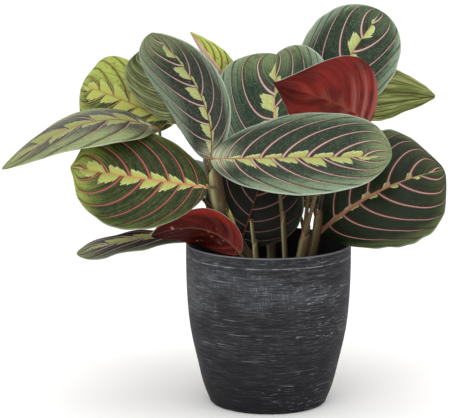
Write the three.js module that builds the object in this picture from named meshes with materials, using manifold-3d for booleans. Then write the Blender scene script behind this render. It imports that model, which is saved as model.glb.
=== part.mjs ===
// A prayer plant (Maranta) in a round pot: broad oval leaves with a V along the midrib,
// each on a thin petiole, growing from leafy shoots that stand in the soil.
// Millimetres, +Z up. The origin is the centre of the pot's base, and the front is -Y.
import * as THREE from "three";
import { mergeVertices } from "three/addons/utils/BufferGeometryUtils.js";
import Module from "manifold-3d";

const wasm = await Module();
wasm.setup();

// Pot and soil
const POT_SIDES = 40;
const POT_WALL = 3;
const POT_FLOOR = 4;
const POT_LIP = 1;
// [radius, height] up the outside, from the flat underside to the rim
const POT_OUTLINE = [
  [44.5, 0], [46.2, 1.5], [51.4, 15], [55.8, 33], [61.8, 61], [64.3, 88], [65, 112], [65, 128],
];
const SOIL_LEVEL = 101;
const SOIL_LUMP = 1.2;
const SOIL_RINGS = [50, 38, 26, 13, 0];
const CLEARANCE = 0.3;

// Leaf blades and stems
const BLADE_THICKNESS = 0.8;
const BLADE_ROWS = 10;
const BLADE_HALF_COLUMNS = 2;
const BLADE_NECK = 1.6;
const BLADE_FULLEST = 1.2;
const STEM_SIDES = 6;
const FOOT_DEPTH = 18;
const PETIOLE_RADIUS = 1.7;
const PETIOLE_STEPS = 8;
const PULVINUS = 5;
const BLADE_GAP = 0.45;
const SHEATH_STEPS = 8;

const FINISHES = {
  pot: { color: 0x3b3b3e, roughness: 0.6 },
  soil: { color: 0x2a1c14, roughness: 0.95 },
  mature: { color: 0x2f4736, roughness: 0.5 },
  young: { color: 0x8fa047, roughness: 0.5 },
  grey: { color: 0x7b8a5e, roughness: 0.5 },
  red: { color: 0x6c2018, roughness: 0.5 },
  stem: { color: 0x776a48, roughness: 0.6 },
};

// Each leaf blade: where its midrib starts and ends, the way its upper face looks (azimuth from
// +X towards +Y and elevation, in degrees), its width, how far the midrib bows towards that face
// and where along it, the turn from base to tip, how much it narrows towards the tip, and for
// each half, seen from above with the tip ahead, the rise at the midrib and the droop beyond.
// fold is how much steeper the left and right halves rise by the tip.
const LEAVES = {
  leaf_front: {
    base: [-44, -42, 201], tip: [92, -70, 208], face: [-91, 53], width: 81, bow: 0, bowAt: 0.5,
    twist: -6, taper: -0.13, left: [16, 11], right: [14, 23], tone: "mature",
  },
  leaf_left: {
    base: [-46, -43, 179], tip: [-151, -47, 195], face: [-98, 21], width: 86, bow: -3, bowAt: 0.6,
    twist: 0, taper: 0.25, left: [8, 18], right: [3, 35], tone: "mature",
  },
  leaf_right: {
    base: [40, 0, 135.5], tip: [135, -24, 190], face: [-81, 36], width: 93, bow: 26, bowAt: 0.64,
    sweep: -2, twist: -15, taper: -0.22, left: [7, 14], right: [-3, 39], tone: "mature",
  },
  leaf_upper: {
    base: [4, -13, 208], tip: [6, 89, 266], face: [-110, 18], width: 96, bow: -9, bowAt: 0.33,
    sweep: 5, twist: 13, taper: -0.36, left: [-4, 3], right: [1, 9], fold: [39, 45], tone: "mature",
  },
  leaf_upper_right: {
    base: [34, 64, 219], tip: [90, 72, 303], face: [-97, 17], width: 78, bow: 7, bowAt: 0.48,
    twist: -8, taper: -0.06, left: [7, 16], right: [10, 9], tone: "mature",
  },
  leaf_upper_left: {
    base: [-45, -19, 196], tip: [-90, -20, 295], face: [-119, -2], width: 73, bow: -18, bowAt: 0.37,
    sweep: -5, twist: -4, taper: -0.38, left: [5, 31], right: [24, -4], tone: "mature",
  },
  leaf_red_top: {
    base: [79, 18, 219], tip: [2, -39, 259], face: [112, 13], width: 89, bow: 1, bowAt: 0.3,
    sweep: 5, twist: -18, taper: 0.93, left: [12, 9], right: [8, 14], tone: "red",
  },
  leaf_red_low: {
    base: [-22, -27, 124], tip: [-91, -37, 140], face: [96, 42], width: 49, bow: 13, bowAt: 0.44,
    sweep: 5, twist: -10, taper: 0.52, left: [10, 10], right: [9, 12], tone: "red",
  },
  leaf_far_right: {
    base: [61, 74, 226], tip: [136, 96, 231], face: [101, 31], width: 55, bow: 7, bowAt: 0.37,
    twist: 8, taper: 0.59, left: [7, 15], right: [13, 4], tone: "grey",
  },
  leaf_far_left: {
    base: [-89, -16, 221], tip: [-203, -50, 194], face: [-94, 67], width: 67, bow: 20, bowAt: 0.39,
    twist: 21, taper: 0.47, left: [10, 28], right: [5, 39], tone: "grey",
  },
  leaf_back_left: {
    base: [-75, 36, 218], tip: [-150, 60, 244], face: [-92, 15], width: 62, bow: 12, bowAt: 0.65,
    twist: 2, taper: -0.17, left: [5, 31], right: [9, 19], tone: "young",
  },
  leaf_folded: {
    base: [-73, 24, 221], tip: [-98, 28, 278], face: [89, 12], width: 49, bow: 2, bowAt: 0.6,
    twist: 0, taper: -0.17, left: [8, 10], right: [3, 18], tone: "grey",
  },
  leaf_young: {
    base: [-35, 105, 239], tip: [-64, 82, 285], face: [-86, 5], width: 34, bow: 6, bowAt: 0.34,
    twist: -2, taper: 0.68, left: [30, -150], right: [10, 8], tone: "young",
  },
  leaf_low_left: {
    base: [-56, 2, 131.5], tip: [-151, 0, 118], face: [-96, 77], width: 41, bow: 6, bowAt: 0.45,
    twist: -5, taper: -0.34, left: [8, 21], right: [5, 26], tone: "mature",
  },
  leaf_low_middle: {
    base: [-22, -1, 127], tip: [-1, 16, 190], face: [-87, 14], width: 77, bow: 4, bowAt: 0.32,
    twist: -1, taper: -0.14, left: [8, 15], right: [7, 13], tone: "mature",
  },
  leaf_low_behind: {
    base: [12, 42, 157], tip: [92, 78, 174], face: [-88, 42], width: 62, bow: 6, bowAt: 0.5,
    twist: 0, taper: 0, left: [8, 15], right: [8, 15], tone: "mature",
  },
  leaf_rear_left: {
    base: [-40, 48, 156], tip: [-112, 114, 178], face: [130, 52], width: 74, bow: 9, bowAt: 0.5,
    twist: 0, taper: 0, left: [10, 20], right: [10, 20], tone: "mature",
  },
  leaf_rear_left_low: {
    base: [-52, 24, 136], tip: [-138, 48, 142], face: [130, 62], width: 60, bow: 9, bowAt: 0.5,
    twist: 0, taper: 0, left: [10, 20], right: [10, 20], tone: "mature",
  },
  leaf_rear_middle: {
    base: [2, 62, 190], tip: [18, 150, 200], face: [80, 55], width: 78, bow: 9, bowAt: 0.5,
    twist: 0, taper: 0, left: [10, 20], right: [10, 20], tone: "mature",
  },
  leaf_rear_right: {
    base: [26, 56, 146], tip: [76, 132, 156], face: [60, 56], width: 66, bow: 9, bowAt: 0.5,
    twist: 0, taper: 0, left: [10, 20], right: [10, 20], tone: "mature",
  },
  leaf_rear_right_low: {
    base: [46, 30, 135], tip: [118, 62, 141], face: [60, 60], width: 60, bow: 8, bowAt: 0.5,
    twist: 0, taper: 0, left: [10, 20], right: [10, 20], tone: "mature",
  },
  leaf_rear_low: {
    base: [-6, 56, 134], tip: [-20, 128, 140], face: [100, 62], width: 58, bow: 8, bowAt: 0.5,
    twist: 0, taper: 0, left: [10, 20], right: [10, 20], tone: "young",
  },
};

// The shoots: each has a foot in the soil and a sheath, given by its points. A petiole starts
// at one of those points, passes its own, and meets the base of its blade end to end.
const SHOOTS = {
  shoot_left: {
    radius: 4.1,
    sheath: [
      [-12, -11, 113], [-24.5, -16, 133], [-34, -20, 149],
      [-40, -24, 162], [-43, -29, 175], [-45, -34, 186],
    ],
    petioles: {
      leaf_front: { from: 4, by: [[-47.5, -38, 194]] },
      leaf_left: { from: 2, by: [[-39, -33, 168]] },
      leaf_upper_left: { from: 1, by: [[-33, -17, 160], [-42, -16, 181]] },
      leaf_far_left: { from: 1, by: [[-50, -11, 163], [-77, -8, 194], [-84, -11, 210]] },
      leaf_low_middle: { from: 0, by: [] },
    },
    stubs: [{ from: 0, to: [-33, -29, 160], radius: 1.6 }],
  },
  shoot_front: {
    radius: 2.4,
    sheath: [[-9, -32, 113], [-10, -31, 124], [-11.2, -30, 136]],
    petioles: { leaf_red_low: { from: 0, by: [] } },
    stubs: [{ from: 1, to: [-13.6, -30, 152], radius: 1.2 }],
  },
  shoot_middle: {
    radius: 2.3,
    sheath: [[13, -17, 113], [12, -15, 135], [10.5, -13, 155]],
    petioles: { leaf_upper: { from: 1, by: [[9, -12, 167], [6, -18, 192]] } },
  },
  shoot_right: {
    radius: 4.3,
    sheath: [[24, -24, 113], [26.5, -24, 128], [28.4, -24, 141]],
    petioles: {
      leaf_red_top: { from: 1, by: [[34, -28, 162], [43, -28, 188], [60, -10, 212], [84, 10, 212]] },
      leaf_far_right: { from: 1, by: [[31, -16, 168], [36, 14, 190], [46, 64, 208], [52, 72, 219]] },
    },
    stubs: [{ from: 1, to: [31.4, -24, 154], radius: 1.9 }],
  },
  shoot_far_right: {
    radius: 3.6,
    sheath: [[33, -12, 113], [35, -14, 125], [38, -15, 146], [38.5, -14, 156]],
    petioles: {
      leaf_right: { from: 0, by: [] },
      leaf_upper_right: { from: 2, by: [[33, 2, 174], [30, 42, 204]] },
    },
  },
  shoot_rear_left: {
    radius: 3.8,
    sheath: [[-26, 16, 113], [-30, 19, 130], [-35, 22, 148]],
    petioles: {
      leaf_back_left: { from: 1, by: [[-41, 29, 172], [-49, 34, 191], [-60, 38, 206]] },
      leaf_folded: { from: 1, by: [[-42, 23, 172], [-50, 24, 192], [-63, 25, 208]] },
      leaf_low_left: { from: 0, by: [[-38, 6, 124]] },
      leaf_rear_left: { from: 1, by: [[-36, 38, 148]] },
      leaf_rear_left_low: { from: 0, by: [[-38, 22, 131]] },
    },
  },
  shoot_rear: {
    radius: 3.8,
    sheath: [[2, 24, 113], [1, 27, 135], [0, 31, 155]],
    petioles: {
      leaf_young: { from: 1, by: [[-14, 58, 184], [-24, 102, 216]] },
      leaf_low_behind: { from: 1, by: [[5, 36, 150]] },
      leaf_rear_middle: { from: 1, by: [[1, 48, 174]] },
      leaf_rear_low: { from: 0, by: [[-3, 41, 130]] },
    },
  },
  shoot_rear_right: {
    radius: 3.5,
    sheath: [[28, 18, 113], [29, 24, 126], [30, 29, 136]],
    petioles: {
      leaf_rear_right: { from: 1, by: [[26, 44, 140]] },
      leaf_rear_right_low: { from: 0, by: [[38, 23, 131]] },
    },
  },
};

// Maths shared by the leaf blades and the stems
const radians = THREE.MathUtils.degToRad;
const vector = (list) => new THREE.Vector3(...list);

function direction(azimuth, elevation) {
  const level = Math.cos(radians(elevation));
  return new THREE.Vector3(
    level * Math.cos(radians(azimuth)),
    level * Math.sin(radians(azimuth)),
    Math.sin(radians(elevation)),
  );
}

// A geometry of any kind as a closed solid: corners joined and flat slivers dropped.
function solidOf(geometry) {
  const bare = new THREE.BufferGeometry().setAttribute("position", geometry.attributes.position);
  if (geometry.index) bare.setIndex(geometry.index);
  const joined = mergeVertices(bare, 1e-3);
  const corners = [...joined.index.array];
  const kept = [];
  for (let at = 0; at < corners.length; at += 3) {
    const [a, b, c] = corners.slice(at, at + 3);
    if (a !== b && b !== c && c !== a) kept.push(a, b, c);
  }
  return new wasm.Manifold(
    new wasm.Mesh({
      numProp: 3,
      vertProperties: new Float32Array(joined.attributes.position.array),
      triVerts: new Uint32Array(kept),
    }),
  );
}

function geometryOf(solid) {
  const mesh = solid.getMesh();
  return new THREE.BufferGeometry()
    .setAttribute("position", new THREE.BufferAttribute(new Float32Array(mesh.vertProperties), 3))
    .setIndex(new THREE.BufferAttribute(new Uint32Array(mesh.triVerts), 1));
}

// A closed outline of [radius, height] points turned about the pot's axis.
function turned(outline) {
  const points = [...outline, outline[0]].map(([radius, height]) => new THREE.Vector2(radius, height));
  return new THREE.LatheGeometry(points, POT_SIDES).rotateX(Math.PI / 2);
}

// The pot's radius at a height, on the outside or, with an inset, within the wall.
function potRadius(height, inset = 0) {
  const above = POT_OUTLINE.findIndex(([, level]) => level >= height);
  const [upperRadius, upperLevel] = POT_OUTLINE[above];
  const [lowerRadius, lowerLevel] = POT_OUTLINE[Math.max(above - 1, 0)];
  const share = upperLevel === lowerLevel ? 0 : (height - lowerLevel) / (upperLevel - lowerLevel);
  return THREE.MathUtils.lerp(lowerRadius, upperRadius, share) - inset;
}

function potGeometry() {
  const rim = POT_OUTLINE.at(-1);
  const outside = POT_OUTLINE.slice(0, -1);
  const lip = [
    [rim[0], rim[1] - POT_LIP],
    [rim[0] - POT_LIP, rim[1]],
    [rim[0] - POT_WALL + POT_LIP, rim[1]],
    [rim[0] - POT_WALL, rim[1] - POT_LIP],
  ];
  const inside = outside
    .filter(([, height]) => height > POT_FLOOR)
    .map(([radius, height]) => [radius - POT_WALL, height])
    .reverse();
  const floor = [[potRadius(POT_FLOOR, POT_WALL), POT_FLOOR], [0, POT_FLOOR], [0, 0]];
  return turned([...outside, ...lip, ...inside, ...floor]);
}

// The soil fills the pot, with a lumpy top and a plain hole for each stem's foot.
function soilGeometry(feet) {
  const inset = POT_WALL + CLEARANCE;
  const bottom = POT_FLOOR + CLEARANCE;
  const sides = POT_OUTLINE.filter(([, height]) => height > bottom && height < SOIL_LEVEL)
    .map(([radius, height]) => [radius - inset, height]);
  const edge = [potRadius(SOIL_LEVEL, inset), SOIL_LEVEL];
  const top = SOIL_RINGS.map((radius) => [radius, SOIL_LEVEL]);
  const outline = [[0, bottom], [potRadius(bottom, inset), bottom], ...sides, edge, ...top];
  const geometry = turned(outline);
  const place = geometry.attributes.position;
  for (let at = 0; at < place.count; at++) {
    const x = place.getX(at);
    const y = place.getY(at);
    if (place.getZ(at) < SOIL_LEVEL - 1e-3 || Math.hypot(x, y) > edge[0] - 1) continue;
    const lump = Math.sin(0.31 * x + 1) * Math.cos(0.27 * y) + 0.5 * Math.sin(0.55 * x - 0.4 * y);
    place.setZ(at, SOIL_LEVEL + SOIL_LUMP * lump);
  }
  const holes = feet.map(({ foot, radius }) => {
    const depth = FOOT_DEPTH + CLEARANCE;
    const wide = (radius + CLEARANCE) / Math.cos(Math.PI / 12);
    const hole = new THREE.CylinderGeometry(wide, wide, 2 * depth, 12).rotateX(Math.PI / 2);
    return solidOf(hole.translate(foot[0], foot[1], SOIL_LEVEL));
  });
  return geometryOf(holes.reduce((soil, hole) => soil.subtract(hole), solidOf(geometry)));
}

// Half of a blade's cross-section as an arc: it leaves the midrib at one slope and droops.
function sectionAt(reach, rise, droop) {
  const start = radians(rise);
  const turn = radians(Math.abs(droop) < 0.5 ? 0.5 : droop);
  return {
    across: (reach * (Math.sin(start) - Math.sin(start - turn))) / turn,
    raised: (reach * (Math.cos(start - turn) - Math.cos(start))) / turn,
  };
}

// A blade's midrib and the way its upper face looks.
function midribOf(leaf) {
  const base = vector(leaf.base);
  const tip = vector(leaf.tip);
  const chord = tip.clone().sub(base);
  const along = chord.clone().normalize();
  const face = direction(...leaf.face);
  face.addScaledVector(along, -face.dot(along)).normalize();
  const control = base
    .clone()
    .addScaledVector(chord, leaf.bowAt)
    .addScaledVector(face, 2 * leaf.bow)
    .addScaledVector(face.clone().cross(along), 2 * (leaf.sweep ?? 0));
  return { curve: new THREE.QuadraticBezierCurve3(base, control, tip), face };
}

// One leaf blade: rows run from base to tip and columns from margin to margin.
function bladeGeometry(leaf) {
  const { curve, face } = midribOf(leaf);
  const points = [];
  for (let row = 0; row <= BLADE_ROWS; row++) {
    const sweep = Math.PI * (row / BLADE_ROWS);
    const share = ((1 - Math.cos(sweep)) / 2) ** (1 / BLADE_FULLEST);
    const narrowing = 1 - leaf.taper * share ** 3;
    const least = row ? BLADE_NECK / 2 : BLADE_NECK;
    const halfWidth = Math.max((leaf.width / 2) * Math.sin(sweep) * narrowing, least);
    const middle = curve.getPoint(share);
    const tangent = curve.getTangent(share);
    const normal = face.clone().applyAxisAngle(tangent, radians(leaf.twist * (share - 0.5)));
    normal.addScaledVector(tangent, -normal.dot(tangent)).normalize();
    const side = new THREE.Vector3().crossVectors(normal, tangent);
    for (let column = -BLADE_HALF_COLUMNS; column <= BLADE_HALF_COLUMNS; column++) {
      const reach = Math.abs(column) / BLADE_HALF_COLUMNS;
      const [rise, droop] = column < 0 ? leaf.right : leaf.left;
      const steeper = (leaf.fold ?? [0, 0])[column < 0 ? 1 : 0] * share ** 3;
      const { across, raised } = sectionAt(halfWidth * reach, rise + steeper, droop * reach);
      const point = middle.clone().addScaledVector(side, Math.sign(column) * across);
      points.push(point.addScaledVector(normal, raised));
    }
  }
  return sheetGeometry(points, BLADE_ROWS, 2 * BLADE_HALF_COLUMNS);
}

// A grid of points thickened into a closed sheet, both faces split along the same diagonals.
function sheetGeometry(points, rows, columns) {
  const stride = columns + 1;
  const held = (value, most) => Math.min(Math.max(value, 0), most);
  const at = (row, column) => points[held(row, rows) * stride + held(column, columns)];
  const offsets = points.map((point, index) => {
    const row = Math.floor(index / stride);
    const column = index % stride;
    const ahead = at(row + 1, column).clone().sub(at(row - 1, column));
    const aside = at(row, column + 1).clone().sub(at(row, column - 1));
    return new THREE.Vector3().crossVectors(ahead, aside).setLength(BLADE_THICKNESS / 2);
  });
  const upper = points.map((point, index) => point.clone().add(offsets[index]));
  const lower = points.map((point, index) => point.clone().sub(offsets[index]));
  const under = points.length;
  const indices = [];
  for (let row = 0; row < rows; row++) {
    for (let column = 0; column < columns; column++) {
      const a = row * stride + column;
      const b = a + 1;
      const c = a + stride;
      const d = c + 1;
      indices.push(a, c, b, b, c, d);
      indices.push(under + a, under + b, under + c, under + b, under + d, under + c);
    }
  }
  const border = [];
  for (let column = 0; column < columns; column++) border.push(column);
  for (let row = 0; row < rows; row++) border.push(row * stride + columns);
  for (let column = columns; column > 0; column--) border.push(rows * stride + column);
  for (let row = rows; row > 0; row--) border.push(row * stride);
  border.forEach((from, index) => {
    const to = border[(index + 1) % border.length];
    indices.push(from, to, under + from, to, under + to, under + from);
  });
  const corners = [...upper, ...lower].flatMap((point) => point.toArray());
  return new THREE.BufferGeometry()
    .setAttribute("position", new THREE.Float32BufferAttribute(corners, 3))
    .setIndex(indices);
}

// A round rod of one thickness along a smooth line through its points.
function rod(points, radius, steps) {
  const ring = [];
  for (let side = 0; side < STEM_SIDES; side++) {
    const turn = (2 * Math.PI * side) / STEM_SIDES;
    ring.push(new THREE.Vector2(radius * Math.cos(turn), radius * Math.sin(turn)));
  }
  const extrudePath = new THREE.CatmullRomCurve3(points);
  return solidOf(new THREE.ExtrudeGeometry(new THREE.Shape(ring), { steps, extrudePath }));
}

// A shoot: its foot and sheath, its petioles and any broken stubs, grown together.
function shootGeometry({ radius, sheath, petioles, stubs = [] }) {
  const joints = sheath.map(vector);
  const [x, y] = sheath[0];
  const foot = [SOIL_LEVEL - FOOT_DEPTH, SOIL_LEVEL - FOOT_DEPTH / 2, SOIL_LEVEL + 3]
    .map((level) => new THREE.Vector3(x, y, level));
  const rods = [rod([...foot, ...joints], radius, SHEATH_STEPS)];
  for (const [name, { from, by }] of Object.entries(petioles)) {
    const { curve } = midribOf(LEAVES[name]);
    const base = curve.getPoint(0);
    const tangent = curve.getTangent(0);
    const ends = [PULVINUS, BLADE_GAP].map((before) => base.clone().addScaledVector(tangent, -before));
    rods.push(rod([joints[from], ...by.map(vector), ...ends], PETIOLE_RADIUS, PETIOLE_STEPS));
  }
  for (const { from, to, radius: thickness } of stubs) {
    rods.push(rod([joints[from], vector(to)], thickness, 1));
  }
  return geometryOf(rods.reduce((shoot, each) => shoot.add(each)));
}

function meshOf(name, geometry, finish) {
  const mesh = new THREE.Mesh(geometry, new THREE.MeshStandardMaterial({ ...finish, metalness: 0 }));
  mesh.name = name;
  return mesh;
}

const plant = new THREE.Group();
const feet = Object.values(SHOOTS).map(({ sheath, radius }) => ({ foot: sheath[0], radius }));
plant.add(meshOf("pot", geometryOf(solidOf(potGeometry())), FINISHES.pot));
plant.add(meshOf("soil", soilGeometry(feet), FINISHES.soil));
for (const [name, shoot] of Object.entries(SHOOTS)) {
  plant.add(meshOf(name, shootGeometry(shoot), FINISHES.stem));
}
for (const [name, leaf] of Object.entries(LEAVES)) {
  plant.add(meshOf(name, bladeGeometry(leaf), FINISHES[leaf.tone]));
}

export default plant;
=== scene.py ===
"""A potted prayer plant: a brushed charcoal pot, peat, leafy shoots and broad herringbone leaves.

The camera looks from the front, along +Y. The pieces are in metres in the frame of the part, and
the tables of the pot, the leaves and the shoots are in millimetres.
"""
import math
import random
from dataclasses import dataclass

import bmesh
import bpy
from bpy.props import FloatProperty, FloatVectorProperty, PointerProperty
from mathutils import Matrix, Quaternion, Vector, noise


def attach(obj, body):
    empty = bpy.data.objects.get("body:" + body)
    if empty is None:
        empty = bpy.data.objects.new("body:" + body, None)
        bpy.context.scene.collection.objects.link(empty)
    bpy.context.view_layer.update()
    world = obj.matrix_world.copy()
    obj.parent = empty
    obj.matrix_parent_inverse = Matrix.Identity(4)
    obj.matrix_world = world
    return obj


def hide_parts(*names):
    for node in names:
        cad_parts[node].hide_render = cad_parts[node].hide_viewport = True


bl_info = {
    "name": "Potted Prayer Plant",
    "version": (1, 0, 0),
    "blender": (4, 5, 0),
    "location": "3D View > Sidebar > Plant",
    "description": "Builds a prayer plant in a round brushed pot, leaf by leaf, with its stage",
    "category": "Add Mesh",
}

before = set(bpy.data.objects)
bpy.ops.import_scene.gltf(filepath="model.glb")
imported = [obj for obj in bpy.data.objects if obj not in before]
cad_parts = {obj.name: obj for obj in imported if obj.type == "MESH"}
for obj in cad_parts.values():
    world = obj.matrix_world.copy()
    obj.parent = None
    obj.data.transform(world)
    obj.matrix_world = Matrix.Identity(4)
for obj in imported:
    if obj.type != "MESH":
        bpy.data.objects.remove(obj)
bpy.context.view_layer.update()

MM = 0.001
ROOT = "root"


BLACK = (0, 0, 0)


def colour(given):
    """A colour's linear values, from six hex digits or from the values themselves."""
    if not isinstance(given, str):
        return tuple(given)
    parts = [int(given[at:at + 2], 16) / 255 for at in (0, 2, 4)]
    return tuple(part / 12.92 if part <= 0.04045 else ((part + 0.055) / 1.055) ** 2.4 for part in parts)


def mixed(first, second, share):
    """A colour part of the way from one to another."""
    return tuple(a + (b - a) * share for a, b in zip(colour(first), colour(second)))


def darkened(first, share):
    """A colour part of the way to black."""
    return mixed(first, BLACK, share)


# The pot's outside from the underside up, as (radius, height) in millimetres
POT_OUTLINE = [(44.5, 0), (46.2, 1.5), (51.4, 15), (55.8, 33), (61.8, 61), (64.3, 88), (65, 112), (65, 128)]
POT_LEVELS = (1.5, 3, 6, 10, 15, 22, 30, 40, 50, 60, 70, 80, 90, 100, 108, 116, 122, 126)
POT_FLOOR = 4
POT_STEPS = 128
SOIL_LEVEL = 101
SOIL_FLOOR = 4.3
SOIL_LEVELS = (SOIL_FLOOR, 10, 20, 33, 47, 61, 75, 88)
SOIL_RINGS = 24
SOIL_STEPS = 72
STEM_CLEARANCE = 0.3
CRUMBS = 240
CRUMB_SEED = 7


@dataclass
class Leaf:
    """A blade's shape in millimetres and degrees, and what sets its finish apart, mostly as shares.

    Pairs are for the left and the right of the midrib, seen with the tip up.
    """

    base: tuple  # where its midrib starts and ends
    tip: tuple
    face: tuple  # the way its upper face looks: azimuth and elevation
    width: float
    bow: float = 9  # how far the midrib bulges towards the upper face, and where
    bow_at: float = 0.5
    sweep: float = 0  # how far the midrib bulges sideways
    twist: float = 0
    taper: float = 0  # how much narrower it gets towards its tip
    point: float = 0.12  # how much the last tenth narrows to a point
    left: tuple = (10, 20)  # each half's slope at the midrib and its droop at the margin
    right: tuple = (10, 20)
    fold: tuple = (0, 0)  # further slope of the halves at the tip
    wave: float = 0.7  # how wavy, in millimetres, and how ragged the margin is
    ragged: float = 0.004
    ridged: float = 0  # how much ridges along the blade show instead of its side veins
    tone: str = "mature"
    veins: float = 7  # side veins on each side
    crowd: float = 0.8  # how much they crowd towards the base, below 1
    spread: float = 0.14  # how far they fan out
    shift: tuple = (0.5, 0.0)  # how far they run ahead
    bold: float = 1  # how broad they are
    line: float = 1  # how little they take on the band's colour
    white: float = 0  # how white they are
    faint: float = 0  # how far they sink into the dark green
    rib: float = 1  # the midrib's breadth
    olive: float = 0.2  # how yellow the greens are
    pale: float = 0.2  # how light the margin is
    dusk: float = 0.1  # how purple the dark green is
    painted_shade: float = 0  # how dark the whole leaf is painted for the shade it hangs in; below 0, how much lighter it is painted
    painted_sheen: float = 0  # how far a painted grey sheen covers the dark green
    glow: float = 0  # 1 for a young leaf that light shines through, painted as lighter colours
    dark: tuple = (0.95, 0.95)  # how far the dark green reaches, in half widths
    thin: float = 1  # what is left of that reach at the tip
    grain: float = 0.1  # how much light streaks show
    margin: float = 0.4  # how light the margin and the tip are
    tipped: float = 0.75
    lobes: tuple = (0.17, 0.17)  # how deep the pale band's lobes are, in half widths
    lobe_at: tuple = ()  # how far its lobes run ahead, where that isn't the veins' shift
    parted: float = 0  # how far its lobes stand apart
    muted: float = 0  # how much the band takes on the lighter green, and how far it is darkened towards deep olive
    band_darkening: float = 0
    rim: float = 0  # how bright the underside's rim is


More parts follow.
